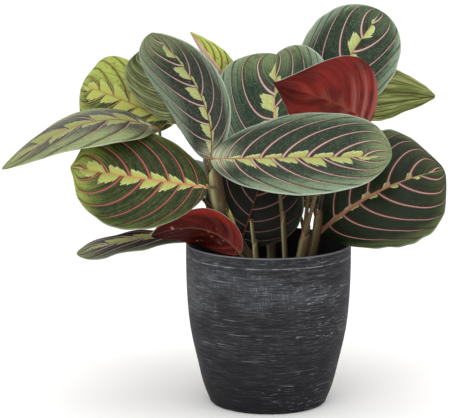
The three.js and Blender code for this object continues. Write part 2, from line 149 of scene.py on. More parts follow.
LEAVES = {
    "front": Leaf(
        (-44, -42, 201), (92, -70, 208), (-91, 53), 81, bow=0, twist=-6, taper=-0.13, left=(16, 11), right=(14, 23),
        olive=0.1, pale=0.5, dusk=0.38, painted_shade=0.12, dark=(0.9, 0.72), lobes=(0.1, 0.25), wave=0.5, veins=8.4,
        crowd=0.68, shift=(0.5, -0.05), tipped=0.7, parted=0.5, bold=0.78, band_darkening=0.3, faint=0.14,
    ),
    "left": Leaf(
        (-46, -43, 179), (-151, -47, 195), (-98, 21), 86, bow=-3, bow_at=0.6, taper=0.25, left=(8, 18), right=(3, 35),
        olive=0.8, pale=0, dusk=0.05, painted_shade=0.25, dark=(1.5, 1.5), thin=0.45, lobes=(0.16, 0.16), wave=0.4, veins=8.3,
        crowd=0.6, shift=(0.05, 0.4), point=0.6, grain=0.25, bold=0.82, parted=0.3, tipped=1, margin=0.2,
        ragged=0.006, band_darkening=0.3, faint=0.18,
    ),
    "right": Leaf(
        (40, 0, 135.5), (135, -24, 190), (-81, 36), 93, bow=26, bow_at=0.64, sweep=-2, twist=-15, taper=-0.22,
        left=(7, 14), right=(-3, 39), olive=0.5, pale=0, dusk=0.3, painted_shade=0.4, dark=(1.6, 1.5), lobes=(0.07, 0.06),
        wave=0.3, spread=0.25, rib=2, parted=1.4, tipped=0.2, point=0.25, grain=0.05, muted=0.25, bold=0.85,
        lobe_at=(0.3, 0), white=0.2, ragged=0.009, faint=0.15, band_darkening=0.2, margin=0.5,
    ),
    "upper": Leaf(
        (4, -13, 208), (6, 89, 266), (-110, 18), 96, bow=-9, bow_at=0.33, sweep=5, twist=13, taper=-0.36,
        left=(-4, 3), right=(1, 9), fold=(39, 45), olive=0, pale=0.5, painted_shade=0.02, dark=(0.74, 0.88), lobes=(0.18, 0.12),
        wave=0.6, veins=4.6, spread=0.5, bold=1.1, parted=0.9, margin=1,
    ),
    "upper_right": Leaf(
        (34, 64, 219), (90, 72, 303), (-97, 17), 78, bow=7, bow_at=0.48, twist=-8, taper=-0.06, left=(7, 16),
        right=(10, 9), olive=0.05, pale=0.4, dusk=0.3, dark=(1, 0.9), lobes=(0.16, 0.13), wave=0.4, veins=4.4,
        spread=0.5, bold=1.2, parted=1, tipped=0.3, margin=0.9, point=0, ragged=0.006,
    ),
    "upper_left": Leaf(
        (-45, -19, 196), (-90, -20, 295), (-119, -2), 73, bow=-18, bow_at=0.37, sweep=-5, twist=-4, taper=-0.38,
        left=(5, 31), right=(24, -4), olive=0, pale=0.4, dusk=0.75, painted_shade=0.03, dark=(0.68, 1), lobes=(0.17, 0.13),
        wave=0.3, white=0.3, muted=0.2, parted=0.8, bold=0.75, margin=0.8, faint=0.05,
    ),
    "red_top": Leaf(
        (79, 18, 219), (2, -39, 259), (112, 13), 89, bow=1, bow_at=0.3, sweep=5, twist=-18, taper=0.93, left=(12, 9),
        right=(8, 14), tone="red", pale=0.3, dusk=0.3, painted_shade=0.06, dark=(0.9, 0.9), lobes=(0.12, 0.14), wave=0.3,
    ),
    "red_low": Leaf(
        (-22, -27, 124), (-91, -37, 140), (96, 42), 49, bow=13, bow_at=0.44, sweep=5, twist=-10, taper=0.52,
        left=(10, 10), right=(9, 12), tone="red", pale=0.3, dusk=0.3, painted_shade=0.5, dark=(0.9, 0.9), lobes=(0.12, 0.14),
        wave=0.5, rim=0.8,
    ),
    "far_right": Leaf(
        (61, 74, 226), (136, 96, 231), (101, 31), 55, bow=7, bow_at=0.37, twist=8, taper=0.59, left=(7, 15),
        right=(13, 4), tone="grey", olive=0.9, pale=0.3, dusk=0.2, dark=(0.5, 0.5), lobes=(0.14, 0.14), wave=0.6,
        ridged=0.85, ragged=0.012, point=0.3,
    ),
    "far_left": Leaf(
        (-89, -16, 221), (-203, -50, 194), (-94, 67), 67, bow=20, bow_at=0.39, twist=21, taper=0.47, left=(10, 28),
        right=(5, 39), tone="grey", olive=0.75, dusk=0.9, painted_shade=0.1, dark=(0.5, 0.55), lobes=(0.24, 0.2), wave=0.3,
        veins=6, painted_sheen=0.25, muted=0.75, white=0.6, bold=0.7, line=0.6, ridged=0.3, band_darkening=0.35,
    ),
    "back_left": Leaf(
        (-75, 36, 218), (-150, 60, 244), (-92, 15), 62, bow=12, bow_at=0.65, twist=2, taper=-0.17, left=(5, 31),
        right=(9, 19), tone="young", olive=1, pale=0, dusk=0.3, dark=(0.6, 0.25), lobes=(0.3, 0.28), wave=0.5,
        veins=6.5, line=0.5, bold=0.8, ridged=0.4, grain=0.4, muted=0.4, band_darkening=0.22,
    ),
    "folded": Leaf(
        (-73, 24, 221), (-98, 28, 278), (89, 12), 49, bow=2, bow_at=0.6, taper=-0.17, left=(8, 10), right=(3, 18),
        tone="grey", olive=0.1, pale=0.4, dusk=0.2, painted_shade=0.38, dark=(0.8, 0.8), lobes=(0.14, 0.14), wave=0.2,
    ),
    "young": Leaf(
        (-35, 105, 239), (-64, 82, 285), (-86, 5), 34, bow=6, bow_at=0.34, twist=-2, taper=0.68, left=(30, -150),
        right=(10, 8), tone="young", olive=1, pale=0, dusk=0, painted_shade=-0.3, glow=1, dark=(-1.2, -1.2), lobes=(0, 0),
        wave=0, line=0.7, bold=1.1,
    ),
    "low_left": Leaf(
        (-56, 2, 131.5), (-151, 0, 118), (-96, 77), 41, bow=6, bow_at=0.45, twist=-5, taper=-0.34, left=(8, 21),
        right=(5, 26), dusk=1, painted_shade=0.42, dark=(0.95, 0.9), lobes=(0.28, 0.22), wave=0.8, veins=5, muted=0.4,
        white=0.6, ragged=0.012, bold=1.3,
    ),
    "low_middle": Leaf(
        (-22, -1, 127), (-1, 16, 190), (-87, 14), 77, bow=4, bow_at=0.32, twist=-1, taper=-0.14, left=(8, 15),
        right=(7, 13), olive=0.3, pale=0, dusk=0.6, painted_shade=0.68, dark=(1.4, 1.4), lobes=(0, 0), wave=0.3, bold=0.7,
        faint=0.4,
    ),
    "low_behind": Leaf(
        (12, 42, 157), (92, 78, 174), (-88, 42), 62, bow=6, left=(8, 15), right=(8, 15), olive=0.4, pale=0.1,
        dusk=0.4, painted_shade=0.2, dark=(1, 1), lobes=(0.12, 0.12), wave=0.4,
    ),
    "rear_left": Leaf((-40, 48, 156), (-112, 114, 178), (130, 52), 74, pale=0.3, lobes=(0.17, 0.18)),
    "rear_left_low": Leaf((-52, 24, 136), (-138, 48, 142), (130, 62), 60, olive=0.6, lobes=(0.18, 0.16)),
    "rear_middle": Leaf(
        (2, 62, 190), (18, 150, 200), (80, 55), 78, olive=0.1, pale=0.4, lobes=(0.16, 0.18), veins=7.5,
    ),
    "rear_right": Leaf((26, 56, 146), (76, 132, 156), (60, 56), 66, olive=0.6, dusk=0.2, lobes=(0.18, 0.16)),
    "rear_right_low": Leaf(
        (46, 30, 135), (118, 62, 141), (60, 60), 60, bow=8, olive=0.3, pale=0.3, dusk=0.3, lobes=(0.16, 0.18),
    ),
    "rear_low": Leaf(
        (-6, 56, 134), (-20, 128, 140), (100, 62), 58, bow=8, tone="young", olive=1, pale=0, dark=(0.5, 0.5),
        lobes=(0.26, 0.26), veins=6.5, line=0.6,
    ),
}


@dataclass
class Shoot:
    """A shoot's stalk and what grows from it, in millimetres."""

    radius: float
    sheath: list  # points of the stalk above the soil
    petioles: list  # (leaf, sheath point that it starts from, points that it passes)
    stubs: tuple = ()  # cut stalks: (sheath point, end, radius)
    buds: tuple = ()  # the same for buds
    wrap: tuple = ()  # points of the open sheath, where it leaves the stalk's line
    flare: float = 1  # how much the open sheath widens halfway up
    split: float = 190  # how many degrees its mouth opens


SHOOTS = {
    "left": Shoot(
        4.1, [(-12, -11, 113), (-24.5, -16, 133), (-34, -20, 149), (-40, -24, 162), (-43, -29, 175), (-45, -34, 186)],
        [
            ("front", 4, [(-47.5, -38, 194)]),
            ("left", 2, [(-39, -33, 168)]),
            ("upper_left", 1, [(-33, -17, 160), (-42, -16, 181)]),
            ("far_left", 1, [(-50, -11, 163), (-77, -8, 194), (-84, -11, 210)]),
            ("low_middle", 0, []),
        ],
        stubs=((0, (-33, -29, 160), 1.5),), buds=((1, (-30.5, -32.5, 160.5), 2.4),), flare=1.45, split=130,
        wrap=((-12, -11, 113), (-24, -16, 133), (-33, -20.5, 149), (-38, -25, 162), (-40.5, -29.5, 175),
              (-42, -34, 187), (-44.2, -37.5, 198)),
    ),
    "front": Shoot(
        2.4, [(-9, -32, 113), (-10, -31, 124), (-11.2, -30, 136)], [("red_low", 0, [])],
        stubs=((1, (-13.6, -30, 152), 1.5),),
    ),
    "middle": Shoot(
        2.3, [(13, -17, 113), (12, -15, 135), (10.5, -13, 155)], [("upper", 1, [(9, -12, 167), (6, -18, 192)])],
    ),
    "right": Shoot(
        4.3, [(24, -24, 113), (26.5, -24, 128), (28.4, -24, 141)],
        [
            ("red_top", 1, [(34, -28, 162), (43, -28, 188), (60, -10, 212), (84, 10, 212)]),
            ("far_right", 1, [(31, -16, 168), (36, 14, 190), (46, 64, 208), (52, 72, 219)]),
        ],
        stubs=((1, (31.4, -24, 154), 1.9),),
    ),
    "far_right": Shoot(
        3.6, [(33, -12, 113), (35, -14, 125), (38, -15, 146), (38.5, -14, 156)],
        [("right", 0, []), ("upper_right", 2, [(33, 2, 174), (30, 42, 204)])],
    ),
    "rear_left": Shoot(
        3.8, [(-26, 16, 113), (-30, 19, 130), (-35, 22, 148)],
        [
            ("back_left", 1, [(-41, 29, 172), (-49, 34, 191), (-60, 38, 206)]),
            ("folded", 1, [(-42, 23, 172), (-50, 24, 192), (-63, 25, 208)]),
            ("low_left", 0, [(-38, 6, 124)]),
            ("rear_left", 1, [(-36, 38, 148)]),
            ("rear_left_low", 0, [(-38, 22, 131)]),
        ],
    ),
    "rear": Shoot(
        3.8, [(2, 24, 113), (1, 27, 135), (0, 31, 155)],
        [
            ("young", 1, [(-14, 58, 184), (-24, 102, 216)]),
            ("low_behind", 1, [(5, 36, 150)]),
            ("rear_middle", 1, [(1, 48, 174)]),
            ("rear_low", 0, [(-3, 41, 130)]),
        ],
    ),
    "rear_right": Shoot(
        3.5, [(28, 18, 113), (29, 24, 126), (30, 29, 136)],
        [("rear_right", 1, [(26, 44, 140)]), ("rear_right_low", 0, [(38, 23, 131)])],
    ),
}


def tint(name, code, description):
    """A colour setting whose default is written as six hex digits."""
    return FloatVectorProperty(
        name=name, description=description, subtype="COLOR", size=3, min=0, max=1, default=colour(code),
    )


def length(name, millimetres, description):
    """A length setting whose default is given in millimetres."""
    return FloatProperty(name=name, description=description, default=millimetres * MM, min=0, unit="LENGTH")


class PotSettings(bpy.types.PropertyGroup):
    """The pot and the soil in it."""

    wall: length("Wall", 3, "Thickness of the pot's side")
    lip: length("Lip rounding", 1, "How much the rim's edges are rounded")
    body: tint("Body", "252528", "The pot's dark coat")
    brushed: tint("Brushed silver", "9a9ca2", "The streaks that are brushed over the coat")
    inside: tint("Inside", "1a191a", "The pot's inner face")
    peat: tint("Peat", "2a1c14", "The soil's main colour")
    crumb: tint("Crumb", "4a3424", "The soil's lighter crumbs")


class LeafSettings(bpy.types.PropertyGroup):
    """What all the leaf blades share."""

    thickness: length("Blade thickness", 0.6, "Thickness of a leaf blade")
    relief: length("Vein relief", 0.5, "How far the blade swells between two veins")
    lean: FloatProperty(name="Vein lean", description="How much the side veins lean forward", default=0.5,
                        min=0, max=0.9, subtype="FACTOR")
    deep: tint("Deep green", "1b3420", "The dark green between the veins")
    deep_olive: tint("Deep olive", "1e2c08", "The dark green of a more olive leaf")
    dusk: tint("Dusky green", "2b2a26", "The purple brown that a dusky leaf tends to")
    outer: tint("Outer green", "5f7a58", "The lighter green towards the margin")
    outer_olive: tint("Outer olive", "a3b143", "The lighter green of a more olive leaf")
    vein: tint("Vein", "cfb0a6", "The side veins")
    vein_red: tint("Red vein", "b05648", "The side veins of an olive leaf")
    band: tint("Band", "c2cc6c", "The zigzag band along the midrib")
    underside: tint("Underside", "6b120b", "The wine red below a grown leaf")
    underside_young: tint("Young underside", "5f6d45", "The grey green below a young leaf")


class StemSettings(bpy.types.PropertyGroup):
    """The shoots and petioles."""

    petiole: length("Petiole radius", 1.6, "Radius of a leaf stalk")
    green: tint("Stem green", "6a6441", "The green of the stems")
    brown: tint("Stem brown", "5c4431", "The brown flush on the stems")
    blush: tint("Stem blush", "9a6a50", "The pink flush where a petiole meets its blade")
    edge: tint("Sheath edge", "a9a878", "The pale edge of the sheaths")
    bud: tint("Bud", "c0bb62", "The yellow green of young buds")


class StageSettings(bpy.types.PropertyGroup):
    """The floor, the lights and the camera."""

    floor: tint("Floor", "fbfbfa", "The pale floor")
    distance: FloatProperty(name="Distance", description="From the plant's axis to the camera", default=1.758,
                            min=0.5, unit="LENGTH")
    height: FloatProperty(name="Height", description="The camera's height", default=0.478, min=0, unit="LENGTH")
    lens: FloatProperty(name="Lens", description="Focal length in millimetres", default=181.3, min=20)


# Curves and frames

def between(low, high, value):
    """0 at low, 1 at high, and smooth in between."""
    share = min(max((value - low) / (high - low), 0), 1)
    return share * share * (3 - 2 * share)


def direction(azimuth, elevation):
    """The unit vector at an azimuth from +X towards +Y and an elevation, in degrees."""
    azimuth, elevation = math.radians(azimuth), math.radians(elevation)
    level = math.cos(elevation)
    return Vector((level * math.cos(azimuth), level * math.sin(azimuth), math.sin(elevation)))


def midrib_of(leaf):
    """The three points of a blade's midrib curve, in metres, and the way its upper face looks."""
    base, tip = Vector(leaf.base) * MM, Vector(leaf.tip) * MM
    chord = tip - base
    along = chord.normalized()
    face = direction(*leaf.face)
    face = (face - along * face.dot(along)).normalized()
    middle = base + chord * leaf.bow_at + face * (2 * leaf.bow * MM)
    middle += face.cross(along) * (2 * leaf.sweep * MM)
    return (base, middle, tip), face


def on_midrib(points, share):
    """The place on a midrib curve and its direction there."""
    base, middle, tip = points
    place = base * (1 - share) ** 2 + middle * (2 * share * (1 - share)) + tip * share ** 2
    heading = (middle - base) * (2 * (1 - share)) + (tip - middle) * (2 * share)
    return place, heading.normalized()


def smooth_path(points, steps):
    """Evenly parted points on the smooth curve through the given ones."""
    points = [Vector(point) for point in points]
    if len(points) == 2:
        points = [points[0], (points[0] + points[1]) / 2, points[1]]
    spread = [2 * points[0] - points[1], *points, 2 * points[-1] - points[-2]]
    path = []
    spans = len(points) - 1
    for step in range(steps + 1):
        at = min(step / steps * spans, spans - 1e-9)
        first = int(at)
        a, b, c, d = spread[first:first + 4]
        gaps = [max((q - p).length ** 0.5, 1e-6) for p, q in ((a, b), (b, c), (c, d))]
        into = (b - a) / gaps[0] - (c - a) / (gaps[0] + gaps[1]) + (c - b) / gaps[1]
        out = (c - b) / gaps[1] - (d - b) / (gaps[1] + gaps[2]) + (d - c) / gaps[2]
        into, out = into * gaps[1], out * gaps[1]
        t = at - first
        path.append(
            b + into * t + (3 * (c - b) - 2 * into - out) * t ** 2 + (2 * (b - c) + into + out) * t ** 3
        )
    return path


# Materials

class Reading:
    """A number that changes over a surface, and takes part in plain arithmetic."""

    def __init__(self, make, socket):
        self.make = make
        self.socket = socket

    def __add__(self, other):
        return self.make.math("ADD", self, other)

    def __sub__(self, other):
        return self.make.math("SUBTRACT", self, other)

    def __mul__(self, other):
        return self.make.math("MULTIPLY", self, other)

    def __truediv__(self, other):
        return self.make.math("DIVIDE", self, other)

    def __pow__(self, other):
        return self.make.math("POWER", self, other)

    def __abs__(self):
        return self.make.math("ABSOLUTE", self)

    def fraction(self):
        """What is left of it past the last whole number."""
        return self.make.math("FRACT", self)

    def to(self, low, high, start=0, end=1, how="SMOOTHSTEP"):
        """The number carried smoothly from low and high to start and end, and held there."""
        made = self.make.node("ShaderNodeMapRange", interpolation_type=how)
        for name, given in zip(("Value", "From Min", "From Max", "To Min", "To Max"), (self, low, high, start, end)):
            self.make.put(made.inputs[name], given)
        return Reading(self.make, made.outputs[0])


class Finish:
    """A material being made, with short ways to add its nodes."""

    def __init__(self, name, roughness, specular):
        self.material = bpy.data.materials.new(name)
        self.material.use_nodes = True
        self.tree = self.material.node_tree
        self.shader = self.tree.nodes["Principled BSDF"]
        self.shader.inputs["Roughness"].default_value = roughness
        self.shader.inputs["Specular IOR Level"].default_value = specular

    def put(self, socket, value):
        """Sets a socket to a number or colour, or joins a reading or another socket to it."""
        value = getattr(value, "socket", value)
        if isinstance(value, bpy.types.NodeSocket):
            self.tree.links.new(value, socket)
        elif socket.type == "RGBA":
            socket.default_value = (*colour(value), 1)
        else:
            socket.default_value = value

    def node(self, kind, **settings):
        made = self.tree.nodes.new(kind)
        for key, value in settings.items():
            setattr(made, key, value)
        return made

    def math(self, operation, *values):
        made = self.node("ShaderNodeMath", operation=operation)
        for socket, value in zip(made.inputs, values):
            self.put(socket, value)
        return Reading(self, made.outputs[0])

    def blend(self, share, first, second):
        """A colour part of the way from one to another."""
        made = self.node("ShaderNodeMix", data_type="RGBA")
        for slot, value in ((0, share), (6, first), (7, second)):
            self.put(made.inputs[slot], value)
        return made.outputs[2]

    def paint(self, base, *coats):
        """A colour under coats, each given as the share that it covers and its colour."""
        for share, coat in coats:
            base = self.blend(share, base, coat)
        return base

    def split(self, vector):
        made = self.node("ShaderNodeSeparateXYZ")
        self.put(made.inputs[0], vector)
        return [Reading(self, socket) for socket in made.outputs]

    def uv(self, name):
        """The two coordinates of one of the piece's UV maps."""
        return self.split(self.node("ShaderNodeUVMap", uv_map=name).outputs[0])[:2]

    def attribute(self, name):
        return Reading(self, self.node("ShaderNodeAttribute", attribute_name=name).outputs["Fac"])

    def place(self, x=1, y=1, z=1):
        """The piece's own coordinates, stretched."""
        stretch = self.node("ShaderNodeMapping")
        stretch.inputs["Scale"].default_value = (x, y, z)
        self.put(stretch.inputs[0], self.node("ShaderNodeTexCoord").outputs["Object"])
        return stretch.outputs[0]

    def noise(self, where, scale=1, detail=2, roughness=0.5, distortion=0):
        """Noise over three readings, or over stretched coordinates."""
        if isinstance(where, tuple):
            joined = self.node("ShaderNodeCombineXYZ")
            for socket, value in zip(joined.inputs, where):
                self.put(socket, value)
            where = joined.outputs[0]
        made = self.node("ShaderNodeTexNoise")
        self.put(made.inputs["Vector"], where)
        for name, value in (("Scale", scale), ("Detail", detail), ("Roughness", roughness), ("Distortion", distortion)):
            made.inputs[name].default_value = value
        return Reading(self, made.outputs[0])

    def spots(self, x, y, z, detail=2, roughness=0.5):
        """Noise with so many spots to the metre across, deep and high."""
        return self.noise(self.place(x, y, z), 1, detail, roughness)

    def bump(self, height, depth, strength):
        made = self.node("ShaderNodeBump")
        made.inputs["Distance"].default_value = depth
        made.inputs["Strength"].default_value = strength
        self.put(made.inputs["Height"], height)
        self.put(self.shader.inputs["Normal"], made.outputs[0])

    def done(self, base, roughness=None):
        self.put(self.shader.inputs["Base Color"], base)
        if roughness is not None:
            self.put(self.shader.inputs["Roughness"], roughness)
        return self.material


class BladeFinish(Finish):
    """A finish that reads where a point lies on its blade and among its veins.

    share runs from base to tip, across from margin to margin, reach and aside from the midrib to
    the margin, count along the side veins, and gap from the nearest of them.
    """

    def __init__(self, name, roughness, specular):
        super().__init__(name, roughness, specular)
        self.share, self.across = self.uv("lay")
        self.count, self.lateral = self.uv("veins")
        self.reach = abs(self.across * 2 - 1)
        self.aside = abs(self.lateral)
        self.gap = from_vein(self.count)


def from_vein(count):
    """How far a point is from the nearest side vein, as a share of the gap between two."""
    return abs((count + 0.5).fraction() - 0.5)


def leaf_face(name, leaf, settings, seed):
    """The upper face: dark between pink side veins, with a toothed pale band along the midrib."""
    make = BladeFinish(name, roughness=0.42, specular=0.16)
    share, across, reach, aside, count, lateral = (
        make.share, make.across, make.reach, make.aside, make.count, make.lateral
    )
    olive, pale, dusk = leaf.olive, leaf.pale, leaf.dusk
    rough = make.noise((count, lateral * 6, seed), 3, 3)
    grain = make.noise((count * 9, lateral, seed + 3), 2, 3, 0.6)
    jag = make.noise((share * 34, lateral * 14, seed), 2.4, 2)
    ridges = make.noise((share * 2, across * 30, seed), 1, 3)
    speck = make.spots(900, 900, 900, 2, 0.6)
    mottle = make.spots(260, 260, 260, 3, 0.6)
    left = make.math("GREATER_THAN", lateral, 0)

    def sided(pair):
        """The number that a pair gives for this side of the midrib."""
        return left.to(0, 1, pair[1], pair[0])

    # The greens, from the dark middle to the light margin
    deep = mixed(mixed(settings.deep, settings.deep_olive, olive), settings.dusk, dusk)
    outer = mixed(mixed(settings.outer, settings.outer_olive, olive), "8b8f7c", 0.5 * dusk)
    # Light shining through a young leaf is painted as a lighter, yellower green
    outer = mixed(mixed(outer, "a3b5a4", 0.3 * pale), settings.band, leaf.glow)
    # Painted grey sheen mixed into the dark green, then painted shade over the whole leaf
    deep, outer = darkened(mixed(deep, "857b76", leaf.painted_sheen), leaf.painted_shade), darkened(outer, leaf.painted_shade)
    dark_reach = sided(leaf.dark) * share.to(0.5, 1, 1, leaf.thin)
    past_dark = grain * 0.5 + (rough * 0.3 + aside) - dark_reach
    green = make.paint(
        deep,
        (past_dark.to(0.12, 0.6), outer),
        (ridges.to(0.5, 0.66, 0, leaf.ridged), darkened(deep, 0.2)),
        ((grain * 0.12 + reach).to(0.9 - 0.17 * leaf.margin, 1.04, 0, leaf.margin), mixed(outer, "9fb49f", pale)),
        (
            (grain * 0.3 + share).to(0.92 - 0.4 * max(0, leaf.tipped - 0.75), 1.15, 0, leaf.tipped),
            mixed(outer, settings.band, 0.35 * leaf.tipped),
        ),
        # Painted shade: a dark wine strip just tipwards of each side vein
        (count.fraction().to(0.3, 0.08, 0, 0.8), mixed(deep, "2e1418", 0.7)),
        (grain.to(0.42, 0.72, 0, leaf.grain), outer),
        # Painted glints: pale specks, fewer on leaves painted darker for shade
        (speck.to(0.58, 0.76, 0, 0.4 * max(0, 1 - 2.4 * leaf.painted_shade)), mixed(outer, "c5d2bc", 0.6)),
        (speck.to(0.45, 0.3, 0, 0.35), darkened(deep, 0.4)),
        (mottle.to(0.5, 0.68, 0, 0.22 * max(0, 1 - 2 * leaf.painted_shade)), mixed(outer, deep, 0.3)),
        (mottle.to(0.46, 0.32, 0, 0.3), darkened(deep, 0.35)),
    )

    # The band: one lobe for each side vein, toothed, jagged and cut off at the next one
    run = make.math("MAXIMUM", aside * -0.2 + share, 0)
    lobe_run = run ** leaf.crowd * leaf.veins + sided(leaf.lobe_at or leaf.shift)
    lobe_phase = lobe_run.fraction()
    tooth = (lobe_phase * 3.6).fraction()
    swell = lobe_phase.to(0, 0.36, 0.16, 0.85, "LINEAR") + lobe_phase.to(0.3, 0.8, 0, 0.2)
    swell = tooth * 0.26 + (swell - 0.13)
    swell = (jag * 0.4 + (swell - 0.2)) * lobe_phase.to(0.95, 0.88)
    parted = 0.5 * leaf.parted
    if parted:
        bare = share.to(0.15, 0.75, 0.5 * parted, parted, "LINEAR")
        swell = swell * (lobe_phase - bare).to(-0.06, 0.03)
    uneven = make.noise((make.math("FLOOR", lobe_run), left, seed), 2.7, 0)
    depth = sided(leaf.lobes) * share.to(0.03, 0.3, 0.3, 1)
    depth = depth * uneven.to(0.3, 0.7, 0.72, 1.25) * share.to(0.98, 0.78)
    inside = depth * swell - aside
    band = mixed(mixed(settings.band, "b6c288", 0.5 * (1 - olive)), outer, leaf.muted)
    band = mixed(band, "5a6000", leaf.band_darkening)
    lobe = make.paint(
        band,
        (aside.to(0.07, 0, 0, 0.7), mixed(band, "b98a4e", 0.5)),
        (from_vein(count * 5).to(0.16, 0.04, 0, 0.5), mixed(band, "c07a50", 0.6)),
        (jag.to(0.45, 0.65, 0, 0.5), mixed(band, outer, 0.6)),
        (inside.to(0.03, 0.004, 0, 0.6), mixed(band, "f0f2c8", 0.6)),
    )
    spokes = make.noise((count * 5, 0, seed), 2, 2)
    foot = share.to(0.2, 0.02) * aside.to(0.45, 0.05, 0, min(1, 1.9 * pale)) * spokes.to(0.4, 0.58, 0.15, 1)

    # The veins: bright cores with painted shade at their sides, the midrib and the thin margin
    vein = mixed(mixed(settings.vein, settings.vein_red, min(1, olive * 1.1)), "c9bcae", leaf.white)
    vein = mixed(band, mixed(vein, deep, leaf.faint), leaf.line)
    broad = leaf.veins * (0.5 + 0.5 * leaf.line) * leaf.bold
    from_core = make.gap / reach.to(0, 1, 0.0088 * broad, 0.005 * broad)
    shown = reach.to(0.96, 0.74) * share.to(0, 0.05) * rough.to(0.2, 0.5, 0.7, 1)
    from_rib = aside / share.to(0, 1, 0.024 * leaf.rib, 0.005)
    rib = mixed(mixed(vein, "d9a070", 0.55), "6e3a22", min(1, 1.6 * dusk))
    rib_end = mixed(mixed(rib, band, 0.3), outer, 0.5)
    base = make.paint(
        green,
        (inside.to(-0.004, 0.006), lobe),
        (foot, mixed(band, "d2d8bc", 0.7)),
        # Painted shade: a dark wine edge along both sides of each vein
        (from_core.to(3.4, 1, 0, 0.55) * shown, mixed(vein, "3a1612", 0.9)),
        (from_core.to(1, 0.6) * shown, vein),
        (from_rib.to(1.1, 0.5), make.blend(share.to(0.6, 0.95), rib, rib_end)),
        (reach.to(0.962, 0.985, 0, 0.35 + 0.5 * pale), mixed(outer, "e2e8d6", 0.6)),
    )
    make.bump(grain.to(0.2, 0.8) * 0.5 + make.gap.to(0, 0.06), depth=0.0006, strength=0.5)
    return make.done(base, rough.to(0.2, 0.8, 0.36, 0.5))


def leaf_back(name, leaf, settings, seed):
    """The underside: wine red on a grown leaf, grey green with fine stripes on a young one."""
    make = BladeFinish(name, roughness=0.5, specular=0.12)
    share, across, reach, aside, count, lateral, gap = (
        make.share, make.across, make.reach, make.aside, make.count, make.lateral, make.gap
    )
    stripe = make.noise((count * 10, lateral, seed), 1.6, 3, 0.6)
    cloud = make.noise((share * 3, lateral * 2, seed + 5), 1.3, 3)
    billow = make.noise((count * 1.6, lateral, seed + 8), 1, 2)
    ridge = make.noise((share * 2, across * 26, seed), 1, 3, 0.6, 0.6)
    # The leaf's painted shade darkens its underside too
    painted_shade, rim, ridged, striped = leaf.painted_shade, leaf.rim, leaf.ridged, 1 - leaf.ridged
    if leaf.tone in ("grey", "young"):
        ground = darkened(mixed(settings.underside_young, settings.outer_olive, 0.5 * leaf.olive), painted_shade)
        light, dark, rib = mixed(ground, "c4c78e", 0.6), mixed(ground, "26281a", 0.8), mixed(ground, "d5c3a5", 0.6)
        if leaf.glow:
            ground, light, dark, rib = (colour(code) for code in ("d9b79b", "eccfb4", "c08a6e", "c9947c"))
        base = make.paint(
            ground,
            (stripe.to(0.48, 0.62, 0, 0.8 * striped), light),
            (stripe.to(0.5, 0.36, 0, 0.85 * striped), dark),
            (ridge.to(0.46, 0.6, 0, ridged), mixed(light, "b4b878", 0.6)),
            (ridge.to(0.5, 0.4, 0, ridged), dark),
            (cloud.to(0.42, 0.66, 0, 0.5), dark),
            (gap.to(0.09, 0.03) * (0.6 * striped), light),
            (reach.to(0.9, 0.98, 0, 0.5), light),
        )
        if leaf.glow:
            olive = mixed(settings.outer_olive, settings.underside, 0.15)
            green = make.blend(stripe.to(0.4, 0.62), settings.underside_young, olive)
            base = make.blend((cloud * 0.3 + across).to(0.86, 0.66), base, green)
        rib_shown = 0.7 * striped
        make.bump(ridge * (2 * ridged) + stripe, depth=0.0008, strength=0.6)
    else:
        ground = darkened(settings.underside, painted_shade)
        bright, dark = mixed(ground, "8e2a1e", 0.4 * (1 - painted_shade)), mixed(ground, "1c0a06", 0.7)
        light, rib = mixed(ground, "c47a70", 0.6), mixed(ground, "a8785a", 0.55)
        veiled = stripe * -0.9 + (gap + 0.45)
        flush = (billow * 0.6 + share).to(0.8, 0.4) * veiled.to(0.4, 0.05, 0, 0.8 - painted_shade)
        chevron = (aside * 2.2 + gap).to(0.5, 0.2)
        middle = across.to(0.72, 0.4) * share.to(0.2, 0.45)
        dots = make.spots(330, 330, 330, 0).to(0.74, 0.78, 0, 0.7 * rim)
        base = make.paint(
            ground,
            (billow.to(0.44, 0.6), bright),
            (cloud.to(0.42, 0.62, 0, 0.7), dark),
            (stripe.to(0.5, 0.7, 0, 0.15), light),
            (flush, light),
            (share.to(0.72, 1, 0, 0.6), dark),
            (chevron * share.to(0.2, 0.4, 0, 0.28 * (1 - painted_shade)) * share.to(0.85, 0.6), mixed(rib, dark, 0.25)),
            (middle * (0.7 * rim), darkened(dark, 0.2)),
            ((cloud * 0.25 + across).to(0.9, 1.05, 0, rim), mixed(bright, "a83428", 0.6)),
            (share.to(0.3, 0.05, 0, 0.6 * rim), "98403c"),
            (dots * across.to(0.7, 0.55), "b89a78"),
        )
        rib_shown = 0.12 + 0.5 * rim
        make.bump(stripe + gap.to(0.1, 0), depth=0.0006, strength=0.5)
    from_rib = aside / share.to(0, 1, 0.035, 0.006)
    return make.done(make.blend(from_rib.to(1.1, 0.5, 0, rib_shown), base, rib))


def stem_finish(settings):
    """Brown olive stems, pinker where a petiole meets its blade."""
    make = Finish("stem_skin", roughness=0.5, specular=0.15)
    around, along, end = (make.attribute(name) for name in ("fold", "along", "end"))
    streak = make.noise((around * 5, along * 40, 0), 1, 3)
    base = make.paint(
        settings.brown,
        (streak.to(0.38, 0.62), settings.green),
        # Painted shade down one side of each stem, and painted light in the pale edge colour down the other
        (around.to(0.5, 0.1, 0, 0.45), darkened(settings.brown, 0.4)),
        (around.to(0.72, 0.95, 0, 0.35), settings.edge),
        (make.spots(60, 60, 40).to(0.5, 0.75, 0, 0.5), mixed(settings.brown, "2c1a12", 0.5)),
        (end.to(0.82, 1, 0, 0.7), settings.blush),
        (along.to(0.03, 0, 0, 0.6), "3a2a1c"),
    )
    make.bump(streak, depth=0.0004, strength=0.6)
    return make.done(base)


